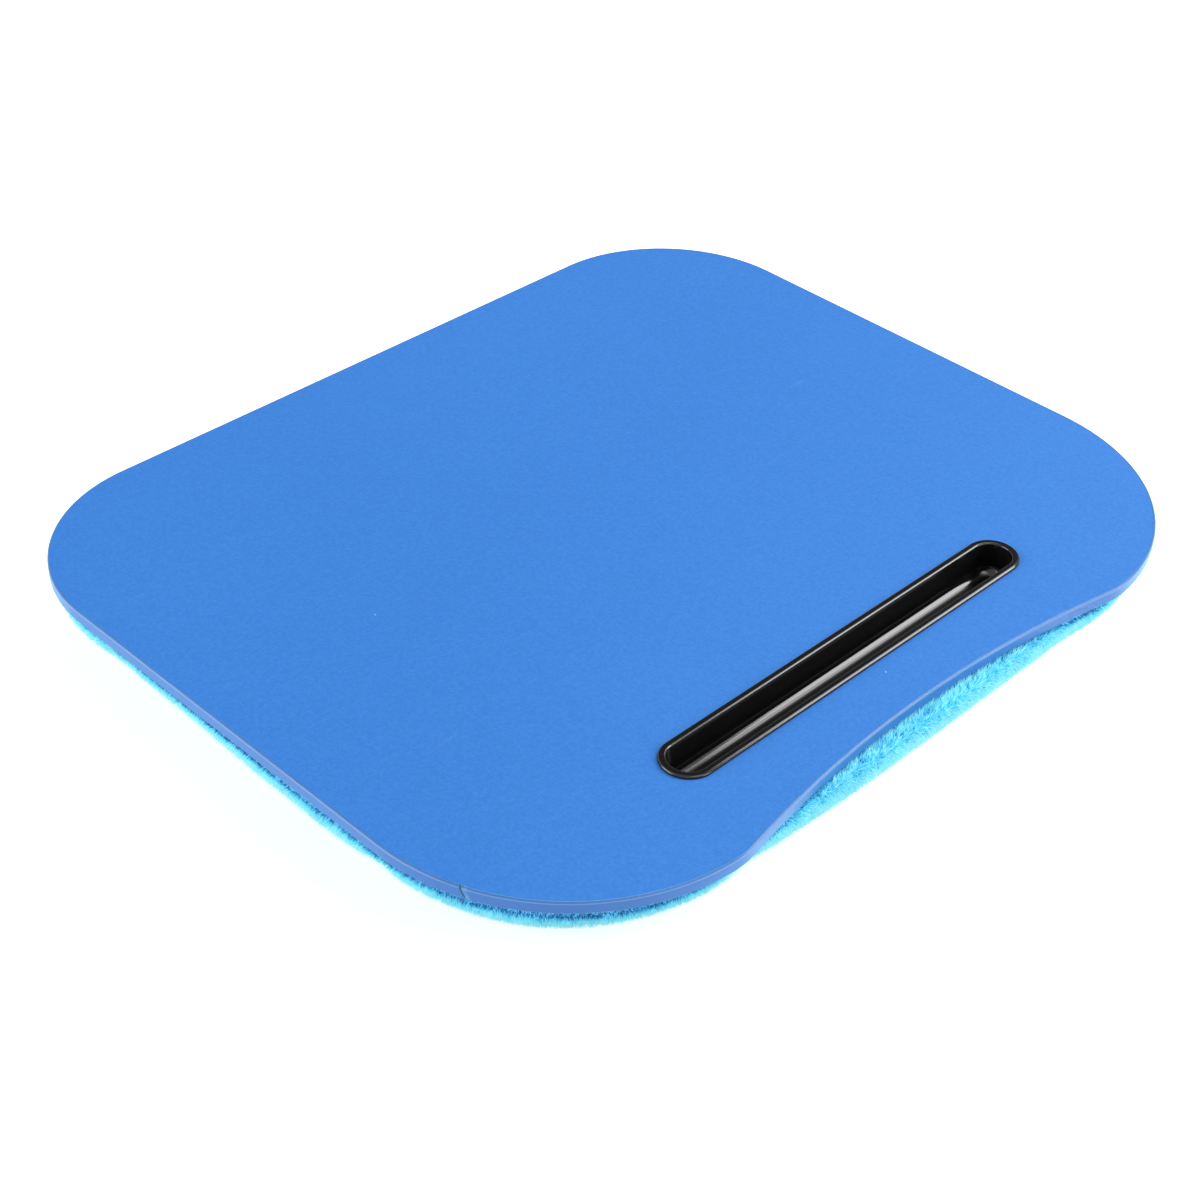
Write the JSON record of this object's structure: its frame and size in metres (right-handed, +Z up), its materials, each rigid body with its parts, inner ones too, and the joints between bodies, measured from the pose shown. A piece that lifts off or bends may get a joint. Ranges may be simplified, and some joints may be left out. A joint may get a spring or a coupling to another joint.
{
  "type": "lap tray",
  "caption": "Thin laminated board with rounded corners, a waist cut and a sunk pen tray, carried on a soft plush cushion that rests on the lap.",
  "frame": {"origin": "on the surface that the cushion rests on, under the middle of the board", "axes": "+X to the user's right across the lap, +Y away from the user, +Z up; the waist cut and the pen tray are on the -Y side"},
  "size_m": [0.4, 0.3359, 0.0554],
  "materials": {
    "fibreboard": "matte",
    "blue_laminate": "satin",
    "backing_laminate": "matte",
    "blue_edge": "satin",
    "black_moulding": "gloss",
    "turquoise_plush": "matte",
    "lining_cloth": "matte",
    "foam_beads": "matte",
    "hook_tape": "matte",
    "loop_tape": "matte"
  },
  "bodies": {
    "root": {"board_core": "fibreboard", "top_laminate": "blue_laminate", "backing_laminate": "backing_laminate", "edge_band": "blue_edge", "pen_tray": "black_moulding", "plush_cover": "turquoise_plush", "lining_panel": "lining_cloth", "bead_filling": "foam_beads", "hook_strip_back_left": "hook_tape", "hook_strip_back_right": "hook_tape", "hook_strip_front_left": "hook_tape", "hook_strip_front_right": "hook_tape", "loop_strip_back_left": "loop_tape", "loop_strip_back_right": "loop_tape", "loop_strip_front_left": "loop_tape", "loop_strip_front_right": "loop_tape"}
  },
  "joints": []
}
